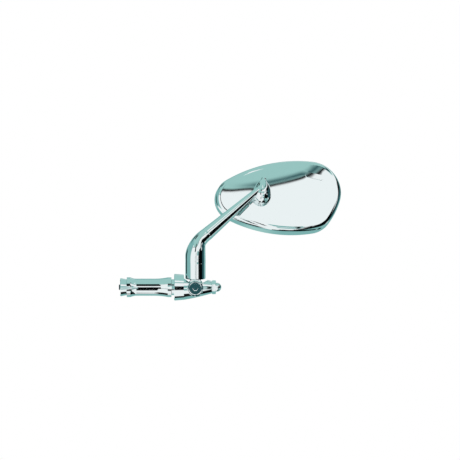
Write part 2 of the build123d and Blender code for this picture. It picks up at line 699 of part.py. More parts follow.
def pieces():
    """Every piece by its node name."""
    nodes = {
        "clamp_body": clamp_body(),
        "pivot_screw": pivot_screw(),
        "pivot_nut": pivot_nut(),
        "pivot_bush": pivot_bush(),
        "thrust_washers": thrust_washers(),
        "friction_pad": friction_pad(),
        "adjuster_stud": adjuster_stud(),
        "cap_nut": cap_nut(),
        "draw_screw": draw_screw(),
        "draw_washer": draw_washer(),
        "cone_nut": cone_nut(),
        "mirror_arm": mirror_arm(),
        "ball_stud": in_head(ball_stud()),
        "ball_liner_front": in_head(liner(*FRONT_LINER)),
        "ball_liner_rear": in_head(liner(-LINER_R, -REAR_LINER)),
        "swivel_seat": in_head(swivel_seat()),
        "pressure_cup": in_head(pressure_cup()),
        "seat_spring": in_head(seat_spring()),
        "retainer_plate": in_head(retainer_plate()),
        "retainer_screws": in_head(retainer_screws()),
        "mirror_shell": in_head(mirror_shell()),
        "mirror_glass": in_head(mirror_glass()),
        "glass_gasket": in_head(glass_gasket()),
        "backing_pad": in_head(backing_pad()),
    }
    for index in range(SEGMENTS):
        nodes[f"expander_segment_{index + 1}"] = sleeve_segment(index)
    return nodes


def main():
    """Write one STEP file for each piece."""
    os.makedirs("parts", exist_ok=True)
    for name, shape in pieces().items():
        solids = shape if isinstance(shape, list) else shape.solids()
        piece = solids[0] if len(solids) == 1 else Compound(children=list(solids))
        export_step(piece, f"parts/{name}.step")


if __name__ == "__main__":
    main()
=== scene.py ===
"""Finishes, screw thread and a small photo studio for a chromed bar-end motorcycle mirror."""

import math

import bpy
from bpy.props import FloatProperty, FloatVectorProperty, PointerProperty
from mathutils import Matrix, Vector


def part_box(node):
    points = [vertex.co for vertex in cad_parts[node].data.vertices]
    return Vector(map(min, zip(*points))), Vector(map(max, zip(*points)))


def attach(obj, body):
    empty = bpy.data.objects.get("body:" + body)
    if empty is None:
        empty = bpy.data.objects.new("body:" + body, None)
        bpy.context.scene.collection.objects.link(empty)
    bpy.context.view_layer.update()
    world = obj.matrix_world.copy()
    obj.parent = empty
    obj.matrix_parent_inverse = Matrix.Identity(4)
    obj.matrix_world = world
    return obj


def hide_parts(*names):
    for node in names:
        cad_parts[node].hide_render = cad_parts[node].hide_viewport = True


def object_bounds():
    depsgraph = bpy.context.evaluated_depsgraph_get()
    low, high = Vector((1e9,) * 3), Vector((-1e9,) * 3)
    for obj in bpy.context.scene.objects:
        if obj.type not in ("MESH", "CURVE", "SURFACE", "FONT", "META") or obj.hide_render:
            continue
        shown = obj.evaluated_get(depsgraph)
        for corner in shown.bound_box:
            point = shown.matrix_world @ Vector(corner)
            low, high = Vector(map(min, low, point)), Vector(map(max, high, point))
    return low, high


bl_info = {
    "name": "Bar-end mirror",
    "version": (1, 0, 0),
    "blender": (4, 5, 0),
    "location": "3D View > Sidebar > Mirror",
    "description": "Dresses a chromed bar-end mirror and stands it in a small photo studio",
    "category": "Object",
}

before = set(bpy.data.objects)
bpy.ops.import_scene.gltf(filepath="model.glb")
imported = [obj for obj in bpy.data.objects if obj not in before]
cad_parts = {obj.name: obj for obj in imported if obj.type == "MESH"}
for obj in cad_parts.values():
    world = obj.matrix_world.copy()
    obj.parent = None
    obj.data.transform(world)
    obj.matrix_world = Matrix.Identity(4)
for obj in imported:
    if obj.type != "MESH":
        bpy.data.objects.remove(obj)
CAD_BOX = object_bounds()
MM = 0.001
PICTURE = 460               # width of the picture in picture elements


def linear(hex_colour):
    """Linear colour with alpha of an sRGB hex value."""
    channels = [int(hex_colour[i:i + 2], 16) / 255 for i in (1, 3, 5)]
    curve = [c / 12.92 if c <= 0.04045 else ((c + 0.055) / 1.055) ** 2.4 for c in channels]
    return (*curve, 1.0)


def colour(name, description, hex_colour):
    """Colour property with an sRGB hex default."""
    return FloatVectorProperty(name=name, description=description, subtype="COLOR", size=4, min=0, max=1,
                               default=linear(hex_colour))


def length(name, description, millimetres):
    """Length property with its default in millimetres."""
    return FloatProperty(name=name, description=description, subtype="DISTANCE", unit="LENGTH", min=0,
                         default=millimetres * MM)


def angle(name, description, degrees):
    """Angle property with its default in degrees."""
    return FloatProperty(name=name, description=description, subtype="ANGLE", unit="ROTATION",
                         default=math.radians(degrees))


def roughness(name, description, clear, dull):
    """Two roughnesses: of the clearest and of the dullest patches of a surface."""
    return FloatVectorProperty(name=name, description=description, size=2, min=0, max=1,
                               default=(clear, dull))


class MirrorFinishes(bpy.types.PropertyGroup):
    """Colours, surface sizes and roughnesses of the mirror's materials."""

    chrome: colour("Chrome", "Colour that polished chrome plate gives to a white reflection", "#E9F1F2")
    satin: colour("Satin chrome", "Colour of satin chrome plate on the pivot nut", "#B4BEC0")
    zinc: colour("Zinc", "Colour of bright zinc plate", "#C9CED2")
    zinc_stain: colour("Zinc stain", "Colour of the passivated patches on zinc plate", "#A9AFAE")
    black_zinc: colour("Black zinc", "Colour of black passivated zinc plate", "#34383E")
    black_zinc_stain: colour("Black zinc stain", "Colour of the thin patches on black zinc plate", "#4B5057")
    steel: colour("Steel", "Colour of ground hard steel", "#B9BBBD")
    bronze: colour("Bronze", "Colour of plain bearing bronze", "#B98A4E")
    # Dark pores: partly the oil in them, partly painted shade in their hollows.
    pore_oil_and_shade: colour("Bronze pores", "Colour of the oily pores of bearing bronze", "#6B4A24")
    acetal: colour("Acetal", "Colour of natural acetal", "#ECEBE4")
    acetal_shade: colour("Acetal shade", "Colour of acetal in its denser patches", "#DAD8CE")
    rubber: colour("Rubber", "Colour of black rubber", "#131415")
    rubber_bloom: colour("Rubber bloom", "Colour of the grey bloom on black rubber", "#2B2D2F")
    foam: colour("Foam", "Colour of grey closed-cell foam", "#55575B")
    # Painted shade in the creases between the foam's cells.
    foam_crease_shade: colour("Foam wall", "Colour between the cells of grey foam", "#3A3B3E")
    silver: colour("Silvering", "Colour of the silvered glass", "#E6EEEC")

    haze: length("Haze", "Width of the patches where a polishing wheel left a trace of haze", 25)
    cast_ripple: length("Cast ripple", "Width of the soft ripples under the plate of a casting", 14)
    cast_swell: length("Cast swell", "Height of the ripples under the plate of a casting", 0.012)
    press_ripple: length("Pressed ripple", "Width of the soft ripples under the plate of a pressing", 45)
    press_swell: length("Pressed swell", "Height of the ripples under the plate of a pressing", 0.006)
    headed_ripple: length("Headed ripple", "Width of the ripples under the plate of a screw or nut", 3)
    headed_swell: length("Headed swell", "Height of the ripples under polished plate on a screw", 0.0004)
    satin_swell: length("Satin swell", "Height of the ripples under satin plate on a nut", 0.01)
    turning_mark: length("Turning mark", "Spacing of the turning marks on the sleeve", 0.9)
    turning_height: length("Turning height", "Height of the turning marks on the sleeve", 0.0006)
    stain: length("Stain", "Width of the patches on zinc plate", 3)
    stain_height: length("Stain height", "Height of the patches on zinc plate", 0.01)
    grinding_mark: length("Grinding mark", "Width of the marks on ground steel", 0.4)
    grinding_height: length("Grinding height", "Height of the marks on ground steel", 0.004)
    pore: length("Pore", "Spacing of the pores of bearing bronze", 0.7)
    pore_depth: length("Pore depth", "Depth of the pores of bearing bronze", 0.03)
    mottle: length("Mottle", "Width of the denser patches of acetal", 4)
    rubber_grain: length("Rubber grain", "Width of the grain moulded into the rubber", 0.8)
    rubber_height: length("Rubber height", "Height of the grain moulded into the rubber", 0.05)
    bloom: length("Bloom", "Width of the patches of bloom on the rubber", 18)
    foam_cell: length("Foam cell", "Width of a cell of the foam", 1.0)
    foam_height: length("Foam height", "Height of the cells of the foam", 0.2)
    smudge: length("Smudge", "Width of the faint smudges on the glass", 18)

    cast_polish: roughness("Cast polish", "Roughness of the chromed castings", 0.02, 0.06)
    press_polish: roughness("Pressed polish", "Roughness of the chromed pressings", 0.02, 0.05)
    headed_polish: roughness("Headed polish", "Roughness of polished chrome on a screw or nut", 0.015, 0.03)
    satin_polish: roughness("Satin polish", "Roughness of satin chrome", 0.24, 0.36)
    turned_polish: roughness("Turned polish", "Roughness of the chromed sleeve", 0.03, 0.07)
    zinc_sheen: roughness("Zinc sheen", "Roughness of zinc plate", 0.22, 0.42)
    steel_sheen: roughness("Steel sheen", "Roughness of ground steel", 0.2, 0.38)
    acetal_wax: roughness("Acetal wax", "Roughness of moulded acetal", 0.28, 0.42)
    rubber_dryness: roughness("Rubber dryness", "Roughness of moulded rubber", 0.45, 0.7)
    glass_film: roughness("Glass film", "Roughness of the silvered glass", 0.004, 0.03)


class MirrorThread(bpy.types.PropertyGroup):
    """Sizes of the draw screw that the solid leaves plain."""

    pitch: length("Pitch", "Pitch of the draw screw's thread", 0.8)
    depth: length("Depth", "Depth of the draw screw's thread", 0.43)
    socket: length("Socket", "Width of the hexagon socket", 4)
    socket_depth: length("Socket depth", "Depth of the hexagon socket", 2.6)
    head: length("Head", "Height of the screw's head", 5)
    shank: length("Shank", "Diameter of the screw's shank", 5)
    bevel: length("Bevel", "Bevel of the head and of the tip", 0.5)
    crease: angle("Crease", "Edges of the screw that turn by more than this stay sharp", 35)


class MirrorStudio(bpy.types.PropertyGroup):
    """Camera, floor, light and the tent that the chrome reflects."""

    elevation: angle("Elevation", "Height of the camera above the horizon", 5)
    distance: length("Distance", "From the camera to the mirror", 4000)
    pixel: length("Picture element", "Size of a picture element at the mirror", 0.83)
    look_x: length("Centre across", "Middle of the picture, out along the bar", 46.3)
    look_up: length("Centre up", "Middle of the picture, above the bar's axis", 47.5)
    floor_drop: length("Floor", "Height of the bar's axis above the floor", 250)
    floor_radius: length("Floor radius", "Radius of the round floor", 500)
    fibre: length("Paper fibre", "Width of the clumps of fibre in the paper of the floor", 2)
    fibre_height: length("Fibre height", "Height of the clumps of fibre in the paper", 0.02)
    tent_radius: length("Tent radius", "From the mirror to the tent round it", 1000)
    lamp_size: length("Lamp size", "Width of the soft lamp", 900)
    lamp_distance: length("Lamp distance", "From the mirror to the soft lamp", 1400)
    lamp_azimuth: angle("Lamp azimuth", "Turn of the soft lamp from the camera's side towards +X", -30)
    lamp_elevation: angle("Lamp elevation", "Height of the soft lamp above the horizon", 60)
    lamp_power: FloatProperty(name="Lamp power", description="Power of the soft lamp", subtype="POWER",
                              unit="POWER", default=12.0)
    matt_level: FloatProperty(name="Matt level", description="Level of the surroundings for matt surfaces",
                              subtype="FACTOR", min=0, max=1, default=0.75)
    white: colour("White", "Colour of the tent, the floor and the surroundings", "#FFFFFF")
    green: colour("Grey-green", "Colour of the pale cool cloths in the tent", "#A6D0CB")
    sea: colour("Sea green", "Colour of the middling cloths in the tent", "#86B9B6")
    deep: colour("Deep green", "Colour of the dark cloths in the tent", "#2A5358")
    black: colour("Black", "Colour of the black cloths in the tent", "#05090A")


# Materials

# Sockets of a Mix node that mixes colours: their names are also those of its other kinds of value.
MIX_FACTOR, MIX_A, MIX_B, MIX_RESULT = 0, 6, 7, 2
# A noise texture of scale 1 has lumps about one unit across, and bands of a wave texture of scale 1 are
# pi / 10 apart.
WAVE_BANDS = math.pi / 10
STREAK = (1.0, 0.05, 1.0)   # draws the lumps of a noise out into streaks along y


def set_inputs(tree, node, inputs):
    """Give each input of a node a value, or a link from another node's output."""
    for key, value in inputs.items():
        if isinstance(value, bpy.types.NodeSocket):
            tree.links.new(value, node.inputs[key])
        else:
            node.inputs[key].default_value = value


def add_node(tree, kind, inputs=None, **settings):
    """Add a node with its settings and its inputs."""
    node = tree.nodes.new(kind)
    for key, value in settings.items():
        setattr(node, key, value)
    set_inputs(tree, node, inputs or {})
    return node


def new_material(name):
    """Node material with a Principled shader: its tree, its shader and its object coordinates."""
    material = bpy.data.materials.new(name)
    material.use_nodes = True
    tree = material.node_tree
    tree.nodes.clear()
    shader = add_node(tree, "ShaderNodeBsdfPrincipled")
    add_node(tree, "ShaderNodeOutputMaterial", {"Surface": shader.outputs["BSDF"]})
    place = add_node(tree, "ShaderNodeTexCoord").outputs["Object"]
    return material, tree, shader, place


def dress(material, *nodes):
    """Give CAD nodes one material."""
    for node in nodes:
        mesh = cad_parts[node].data
        mesh.materials.clear()
        mesh.materials.append(material)


def chrome_plate(name, tint, ripple, swell, polish, haze):
    """Chrome plate: bright reflections, bent a little by the ripples of the metal under the plate."""
    material, tree, shader, place = new_material(name)
    waves = add_node(tree, "ShaderNodeTexNoise", {"Vector": place, "Scale": 1 / ripple, "Detail": 1.0})
    bump = add_node(tree, "ShaderNodeBump", {"Height": waves.outputs["Fac"], "Distance": swell})
    patches = add_node(tree, "ShaderNodeTexNoise", {"Vector": place, "Scale": 1 / haze, "Detail": 3.0})
    dull = add_node(tree, "ShaderNodeMapRange", {"Value": patches.outputs["Fac"],
                                                 "From Min": 0.35, "From Max": 0.7,
                                                 "To Min": polish[0], "To Max": polish[1]})
    set_inputs(tree, shader, {"Base Color": tint, "Metallic": 1.0, "Roughness": dull.outputs["Result"],
                              "Normal": bump.outputs["Normal"]})
    return material


class MIRROR_OT_castings(bpy.types.Operator):
    """Chrome the clamp body and the arm"""

    bl_idname = "mirror.castings"
    bl_label = "Castings"

    def execute(self, context):
        finishes = context.scene.mirror_finishes
        # Zinc castings, polished and chromed: bright and sharp, with the slow waver of a hand-held buff.
        plate = chrome_plate("chromed zinc casting", finishes.chrome, finishes.cast_ripple,
                             finishes.cast_swell, finishes.cast_polish, finishes.haze)
        dress(plate, "clamp_body", "mirror_arm")
        return {"FINISHED"}


class MIRROR_OT_head(bpy.types.Operator):
    """Chrome the shell of the head and its rosette"""

    bl_idname = "mirror.head"
    bl_label = "Head"

    def execute(self, context):
        finishes = context.scene.mirror_finishes
        # Pressed brass, polished and chromed: the reflections run in long clean curves over the drawn sheet.
        plate = chrome_plate("chromed brass pressing", finishes.chrome, finishes.press_ripple,
                             finishes.press_swell, finishes.press_polish, finishes.haze)
        dress(plate, "mirror_shell", "swivel_seat")
        return {"FINISHED"}


class MIRROR_OT_sleeve(bpy.types.Operator):
    """Chrome the expanding sleeve and its cone nut"""

    bl_idname = "mirror.sleeve"
    bl_label = "Sleeve"

    def execute(self, context):
        finishes = context.scene.mirror_finishes
        clear, hazed = finishes.turned_polish
        # Turned steel under thin chrome: bright along the bar, with faint turning marks round it. The real
        # marks are 0.1 to 0.2 mm apart, too fine to show, so they are drawn coarser.
        material, tree, shader, place = new_material("chromed turned steel")
        marks = add_node(tree, "ShaderNodeTexWave", {"Vector": place, "Distortion": 0.6, "Detail": 2.0,
                                                     "Scale": WAVE_BANDS / finishes.turning_mark},
                         wave_type="BANDS", bands_direction="X").outputs["Fac"]
        bump = add_node(tree, "ShaderNodeBump", {"Height": marks, "Distance": finishes.turning_height})
        dull = add_node(tree, "ShaderNodeMapRange", {"Value": marks, "To Min": clear, "To Max": hazed})
        set_inputs(tree, shader, {"Base Color": finishes.chrome, "Metallic": 1.0,
                                  "Roughness": dull.outputs["Result"], "Normal": bump.outputs["Normal"]})
        dress(material, "expander_segment_1", "expander_segment_2", "expander_segment_3", "cone_nut")
        return {"FINISHED"}


class MIRROR_OT_fasteners(bpy.types.Operator):
    """Finish the pivot screw, its nut and the cap nut"""

    bl_idname = "mirror.fasteners"
    bl_label = "Fasteners"

    def execute(self, context):
        finishes = context.scene.mirror_finishes
        # Cold-headed steel under satin chrome: a soft sheen with no clear picture in it.
        satin = chrome_plate("satin chromed steel", finishes.satin, finishes.headed_ripple,
                             finishes.satin_swell, finishes.satin_polish, finishes.haze)
        dress(satin, "pivot_nut")
        # Steel polished before plating, for the two that stand in sight: small hard lights and darks.
        bright = chrome_plate("chromed steel", finishes.chrome, finishes.headed_ripple,
                              finishes.headed_swell, finishes.headed_polish, finishes.haze)
        dress(bright, "pivot_screw", "cap_nut")
        return {"FINISHED"}


def zinc_plate(name, plain, stained, finishes):
    """Passivated zinc plate: dull metal with a blue cast, cloudy where the passivation took unevenly."""
    material, tree, shader, place = new_material(name)
    clear, dulled = finishes.zinc_sheen
    clouds = add_node(tree, "ShaderNodeTexNoise", {"Vector": place, "Scale": 1 / finishes.stain,
                                                   "Detail": 4.0}).outputs["Fac"]
    tint = add_node(tree, "ShaderNodeMix", {MIX_FACTOR: clouds, MIX_A: plain, MIX_B: stained},
                    data_type="RGBA")
    dull = add_node(tree, "ShaderNodeMapRange", {"Value": clouds, "To Min": clear, "To Max": dulled})
    bump = add_node(tree, "ShaderNodeBump", {"Height": clouds, "Distance": finishes.stain_height})
    set_inputs(tree, shader, {"Base Color": tint.outputs[MIX_RESULT], "Metallic": 1.0,
                              "Roughness": dull.outputs["Result"], "Normal": bump.outputs["Normal"]})
    return material


SIDES = 48                  # points round the draw screw
TURN_STEPS = 10             # points along each turn of its thread
CREST = 0.125               # flat crest of a metric thread, of the pitch
ROOT = 0.25                 # flat root of a metric thread, of the pitch


def thread_drop(along, turn, thread):
    """Depth of the thread below its crest at a length along the screw and a part of a turn round it."""
    phase = (along / thread.pitch - turn) % 1
    from_root = abs(phase - 0.5)
    flank = (0.5 - CREST / 2 - from_root) / (0.5 - CREST / 2 - ROOT / 2)
    return thread.depth * min(1, max(0, flank))


def draw_screw_rings(thread, low, high):
    """Rings of the draw screw from its socket to its tip: place along the bar and the radii round it."""
    turns = [i / SIDES for i in range(SIDES)]
    sector = [(t * math.tau) % (math.pi / 3) - math.pi / 6 for t in turns]
    socket = [thread.socket / 2 / math.cos(a) for a in sector]
    head_r = (high.z - low.z) / 2
    shank_r = thread.shank / 2
    under = high.x - thread.head
    rings = [(high.x - thread.socket_depth, socket), (high.x, socket),
             (high.x, [head_r - thread.bevel] * SIDES), (high.x - thread.bevel, [head_r] * SIDES),
             (under, [head_r] * SIDES), (under, [shank_r] * SIDES)]
    steps = math.floor((under - low.x) / thread.pitch * TURN_STEPS)
    for step in range(1, steps + 1):
        along = (under - low.x) * step / steps
        run_in = min(1, along / thread.pitch)
        bevel = max(0, thread.bevel - (under - low.x - along))
        rings.append((under - along, [min(shank_r - thread_drop(along, t, thread) * run_in, shank_r - bevel)
                                      for t in turns]))
    return rings


def draw_screw_mesh(thread, low, high):
    """Closed mesh of the draw screw with its socket and its thread."""
    rings = draw_screw_rings(thread, low, high)
    around = [math.tau * i / SIDES for i in range(SIDES)]
    points = [(x, r * math.cos(a), r * math.sin(a)) for x, radii in rings for r, a in zip(radii, around)]
    faces = [tuple(range(SIDES)), tuple(range(len(points) - 1, len(points) - SIDES - 1, -1))]
    for ring in range(len(rings) - 1):
        for i in range(SIDES):
            here, beside = ring * SIDES + i, ring * SIDES + (i + 1) % SIDES
            faces.append((here, here + SIDES, beside + SIDES, beside))
    mesh = bpy.data.meshes.new("draw_screw_threaded")
    mesh.from_pydata(points, [], faces)
    mesh.shade_smooth()
    mesh.set_sharp_from_angle(angle=thread.crease)
    return mesh


class MIRROR_OT_draw_gear(bpy.types.Operator):
    """Cut the thread of the draw screw and zinc the steel inside the mirror"""

    bl_idname = "mirror.draw_gear"
    bl_label = "Draw gear"

    def execute(self, context):
        finishes = context.scene.mirror_finishes
        # Pressed and turned steel in bright zinc: a grey sheen with no clear picture in it.
        zinc = zinc_plate("zinc plated steel", finishes.zinc, finishes.zinc_stain, finishes)
        dress(zinc, "draw_washer", "adjuster_stud", "retainer_screws", "retainer_plate")
        # A high-tensile screw in black zinc: dark in the slits of the sleeve, with dim lights on its crests.
        black = zinc_plate("black zinc plated steel", finishes.black_zinc, finishes.black_zinc_stain,
                           finishes)
        mesh = draw_screw_mesh(context.scene.mirror_thread, *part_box("draw_screw"))
        mesh.materials.append(black)
        screw = bpy.data.objects.new("draw_screw_threaded", mesh)
        context.scene.collection.objects.link(screw)
        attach(screw, "draw_screw")
        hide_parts("draw_screw")
        return {"FINISHED"}


class MIRROR_OT_bearings(bpy.types.Operator):
    """Finish the pivot's bearings and the ball swivel"""

    bl_idname = "mirror.bearings"
    bl_label = "Bearings"

    def execute(self, context):
        finishes = context.scene.mirror_finishes
        dress(self.ground_steel(finishes), "ball_stud", "seat_spring", "thrust_washers")
        dress(self.bearing_bronze(finishes), "pivot_bush", "friction_pad")
        dress(self.acetal(finishes), "ball_liner_front", "ball_liner_rear", "pressure_cup")
        return {"FINISHED"}

    def ground_steel(self, finishes):
        """Ground hard steel: grey metal with fine straight marks that streak its reflections."""
        material, tree, shader, place = new_material("ground hard steel")
        clear, dulled = finishes.steel_sheen
        # Real grinding marks are about 0.05 mm wide, too fine to show, so they are drawn coarser.
        streaks = add_node(tree, "ShaderNodeMapping", {"Vector": place, "Scale": STREAK})
        marks = add_node(tree, "ShaderNodeTexNoise", {"Vector": streaks.outputs["Vector"], "Detail": 2.0,
                                                      "Scale": 1 / finishes.grinding_mark}).outputs["Fac"]
        bump = add_node(tree, "ShaderNodeBump", {"Height": marks, "Distance": finishes.grinding_height})
        dull = add_node(tree, "ShaderNodeMapRange", {"Value": marks, "To Min": clear, "To Max": dulled})
        set_inputs(tree, shader, {"Base Color": finishes.steel, "Metallic": 1.0,
                                  "Roughness": dull.outputs["Result"], "Normal": bump.outputs["Normal"]})
        return material

    def bearing_bronze(self, finishes):
        """Sintered bronze: warm metal, dotted with dark pores: the oil in them, and painted shade in their
        hollows.
        """
        material, tree, shader, place = new_material("sintered bronze")
        # Real pores are about 0.1 mm apart, too fine to show, so they are drawn coarser.
        pores = add_node(tree, "ShaderNodeTexVoronoi", {"Vector": place, "Scale": 1 / finishes.pore})
        dots = add_node(tree, "ShaderNodeMapRange", {"Value": pores.outputs["Distance"],
                                                     "From Min": 0.15, "From Max": 0.4,
                                                     "To Min": 0.0, "To Max": 1.0}).outputs["Result"]
        # Darker at the middle of each pore, where the bump sinks: the oil, and painted shade in the hollow.
        tint = add_node(tree, "ShaderNodeMix", {MIX_FACTOR: dots, MIX_A: finishes.pore_oil_and_shade,
                                                MIX_B: finishes.bronze}, data_type="RGBA")
        bump = add_node(tree, "ShaderNodeBump", {"Height": dots, "Distance": finishes.pore_depth})
        set_inputs(tree, shader, {"Base Color": tint.outputs[MIX_RESULT], "Metallic": 1.0, "Roughness": 0.38,
                                  "Normal": bump.outputs["Normal"]})
        return material

    def acetal(self, finishes):
        """Moulded natural acetal: milky white with soft denser patches and a waxy gloss."""
        material, tree, shader, place = new_material("moulded acetal")
        clear, dulled = finishes.acetal_wax
        patches = add_node(tree, "ShaderNodeTexNoise", {"Vector": place, "Scale": 1 / finishes.mottle,
                                                        "Detail": 2.0}).outputs["Fac"]
        tint = add_node(tree, "ShaderNodeMix", {MIX_FACTOR: patches, MIX_A: finishes.acetal,
                                                MIX_B: finishes.acetal_shade}, data_type="RGBA")
        wax = add_node(tree, "ShaderNodeMapRange", {"Value": patches, "To Min": clear, "To Max": dulled})
        set_inputs(tree, shader, {"Base Color": tint.outputs[MIX_RESULT], "IOR": 1.48,
                                  "Roughness": wax.outputs["Result"]})
        return material


class MIRROR_OT_glazing(bpy.types.Operator):
    """Finish the glass, its rubber channel and the foam behind it"""

    bl_idname = "mirror.glazing"
    bl_label = "Glazing"

    def execute(self, context):
        finishes = context.scene.mirror_finishes
        dress(self.silvered_glass(finishes), "mirror_glass")
        dress(self.moulded_rubber(finishes), "glass_gasket")
        dress(self.closed_cell_foam(finishes), "backing_pad")
        return {"FINISHED"}

    def silvered_glass(self, finishes):
        """Bent float glass, silvered behind: a clear picture under a thin gloss, faintly smudged."""
        material, tree, shader, place = new_material("silvered float glass")
        clear, smudged = finishes.glass_film
        smudges = add_node(tree, "ShaderNodeTexNoise", {"Vector": place, "Scale": 1 / finishes.smudge,
                                                        "Detail": 3.0})
        film = add_node(tree, "ShaderNodeMapRange", {"Value": smudges.outputs["Fac"],
                                                     "From Min": 0.4, "From Max": 0.8,
                                                     "To Min": clear, "To Max": smudged})
        set_inputs(tree, shader, {"Base Color": finishes.silver, "Metallic": 1.0,
                                  "Roughness": film.outputs["Result"], "Coat Weight": 1.0,
                                  "Coat Roughness": 0.005, "Coat IOR": 1.52})
        return material

    def moulded_rubber(self, finishes):
        """Moulded black rubber: deep black with a dry grey bloom and a fine grain."""
        material, tree, shader, place = new_material("moulded black rubber")
        clear, dry = finishes.rubber_dryness
        # The real grain is about 0.2 mm wide, too fine to show, so it is drawn coarser.
        grain = add_node(tree, "ShaderNodeTexNoise", {"Vector": place, "Scale": 1 / finishes.rubber_grain,
                                                      "Detail": 2.0})
        bloom = add_node(tree, "ShaderNodeTexNoise", {"Vector": place, "Scale": 1 / finishes.bloom,
                                                      "Detail": 3.0}).outputs["Fac"]
        tint = add_node(tree, "ShaderNodeMix", {MIX_FACTOR: bloom, MIX_A: finishes.rubber,
                                                MIX_B: finishes.rubber_bloom}, data_type="RGBA")
        dull = add_node(tree, "ShaderNodeMapRange", {"Value": bloom, "To Min": clear, "To Max": dry})
        bump = add_node(tree, "ShaderNodeBump", {"Height": grain.outputs["Fac"],
                                                 "Distance": finishes.rubber_height})
        set_inputs(tree, shader, {"Base Color": tint.outputs[MIX_RESULT], "IOR": 1.52,
                                  "Roughness": dull.outputs["Result"], "Normal": bump.outputs["Normal"]})
        return material

    def closed_cell_foam(self, finishes):
        """Closed-cell foam: dull grey, pebbled by its cells, with painted shade in the creases between them.
        """
        material, tree, shader, place = new_material("closed-cell foam")
        cells = add_node(tree, "ShaderNodeTexVoronoi", {"Vector": place, "Scale": 1 / finishes.foam_cell})
        away = cells.outputs["Distance"]
        # Darker towards the cell edges, where the bump sinks: painted shade in the creases.
        tint = add_node(tree, "ShaderNodeMix", {MIX_FACTOR: away, MIX_A: finishes.foam,
                                                MIX_B: finishes.foam_crease_shade}, data_type="RGBA")
        bump = add_node(tree, "ShaderNodeBump", {"Height": away, "Distance": finishes.foam_height},
                        invert=True)
        set_inputs(tree, shader, {"Base Color": tint.outputs[MIX_RESULT], "Roughness": 0.9,
                                  "Normal": bump.outputs["Normal"]})
        return material


# Studio


def direction(azimuth, elevation):
    """Unit vector for an azimuth, 0 towards the camera and 90 along +X, and an elevation, in degrees."""
    a, e = math.radians(azimuth), math.radians(elevation)
    return Vector((math.sin(a) * math.cos(e), -math.cos(a) * math.cos(e), math.sin(e)))


def stage_mesh(name, points, faces, material):
    """Mesh that belongs to the stage."""
    mesh = bpy.data.meshes.new(name)
    mesh.from_pydata(points, [], faces)
    mesh.materials.append(material)
    piece = bpy.data.objects.new(name, mesh)
    bpy.context.scene.collection.objects.link(piece)
    return piece


TENT_STEP = 5               # degrees between the tent's points
FLOOR_SIDES = 96            # points round the floor
# Cloths hung in the white tent, each in front of those above it: name, colour, azimuths, elevations at the
# middle azimuth, rise in degrees for each degree of azimuth, and the width of the soft edges at the sides and
# at top and bottom.
CLOTHS = (
    ("sky", "green", (-190, 190), (41, 140), 0, (1, 1.2)),
    ("left", "sea", (-180, -56), (-14, 46), 0, (12, 10)),
    ("back_low", "sea", (96, 230), (-82, -12), 0, (10, 6)),
    ("skirt", "green", (150, 192), (-46, -12), 0, (6, 4)),
    ("right", "sea", (96, 182), (-45, 34), 0, (10, 8)),
    ("shell_green", "green", (-46, 56), (38, 46), 0.05, (8, 0.8)),
    ("shell_white", "white", (-46, 56), (20, 39.6), 0.05, (8, 0.8)),
    ("window", "white", (2, 19), (55.6, 63.6), -0.9, (3, 3)),
    ("foot_left", "black", (-114, -80), (50, 61), 0, (6, 4)),
    ("line", "black", (-60, 58), (38.6, 39.6), 0.05, (12, 1.0)),
    ("line_thick", "deep", (10, 58), (41.6, 43.0), 0.05, (20, 2.0)),
    ("line_right", "deep", (50, 125), (44, 50), 0, (6, 3)),
    ("right_deep", "deep", (74, 116), (-16, 22), 0, (12, 8)),
    ("foot_right", "black", (64, 124), (19, 34), 0, (8, 4)),
    ("foot_behind", "black", (-140, -117), (28, 46), 0, (8, 6)),
    ("flag_high", "black", (43, 56), (8, 26), 1.25, (3, 3)),
    ("floor_left", "black", (-128, -20), (-82, -64), 0, (10, 4)),
    ("rim_right", "deep", (122, 146), (0, 14), 0, (6, 4)),
    ("flag_arm", "black", (37, 66), (-8, 22), 0, (6, 3)),
    ("flag", "black", (33.5, 84), (-80, 10), 0, (8, 4)),
    ("under", "sea", (46, 92), (-51, -25), 0, (8, 6)),
    ("rim_low_right", "black", (82, 136), (-54, -44), 0, (8, 5)),
    ("floor", "black", (22, 112), (-80, -57), 0, (8, 6)),
    ("nadir", "black", (10, 186), (-100, -79), 0, (10, 3)),
    ("ear", "sea", (15.4, 33), (-4, 17), 0, (0.8, 4)),
    ("ear_low", "sea", (15.4, 33), (-27, -12), 0, (0.8, 4)),
    ("lug", "black", (28.6, 31.2), (-24, 15), 0, (0.8, 4)),
    ("sleeve_upper", "black", (-16, -3.6), (17, 45), 0, (1.2, 7)),
    ("sleeve_lower", "black", (-11, -3.6), (-40, -14), 0, (1.2, 8)),
    ("neck", "sea", (-4.3, -3.0), (-20, 26), 0, (0.3, 6)),
    ("collar_top", "white", (5.8, 12), (49, 64), 0, (1, 2)),
    ("collar", "black", (4.8, 8.2), (-22, 11), 0, (0.6, 6)),
    ("camera", "deep", (-3, -1.2), (-10, -6.8), 0, (0.4, 0.4)),
    ("behind_left", "black", (-134, -110), (-14, 12), 0, (10, 8)),
)


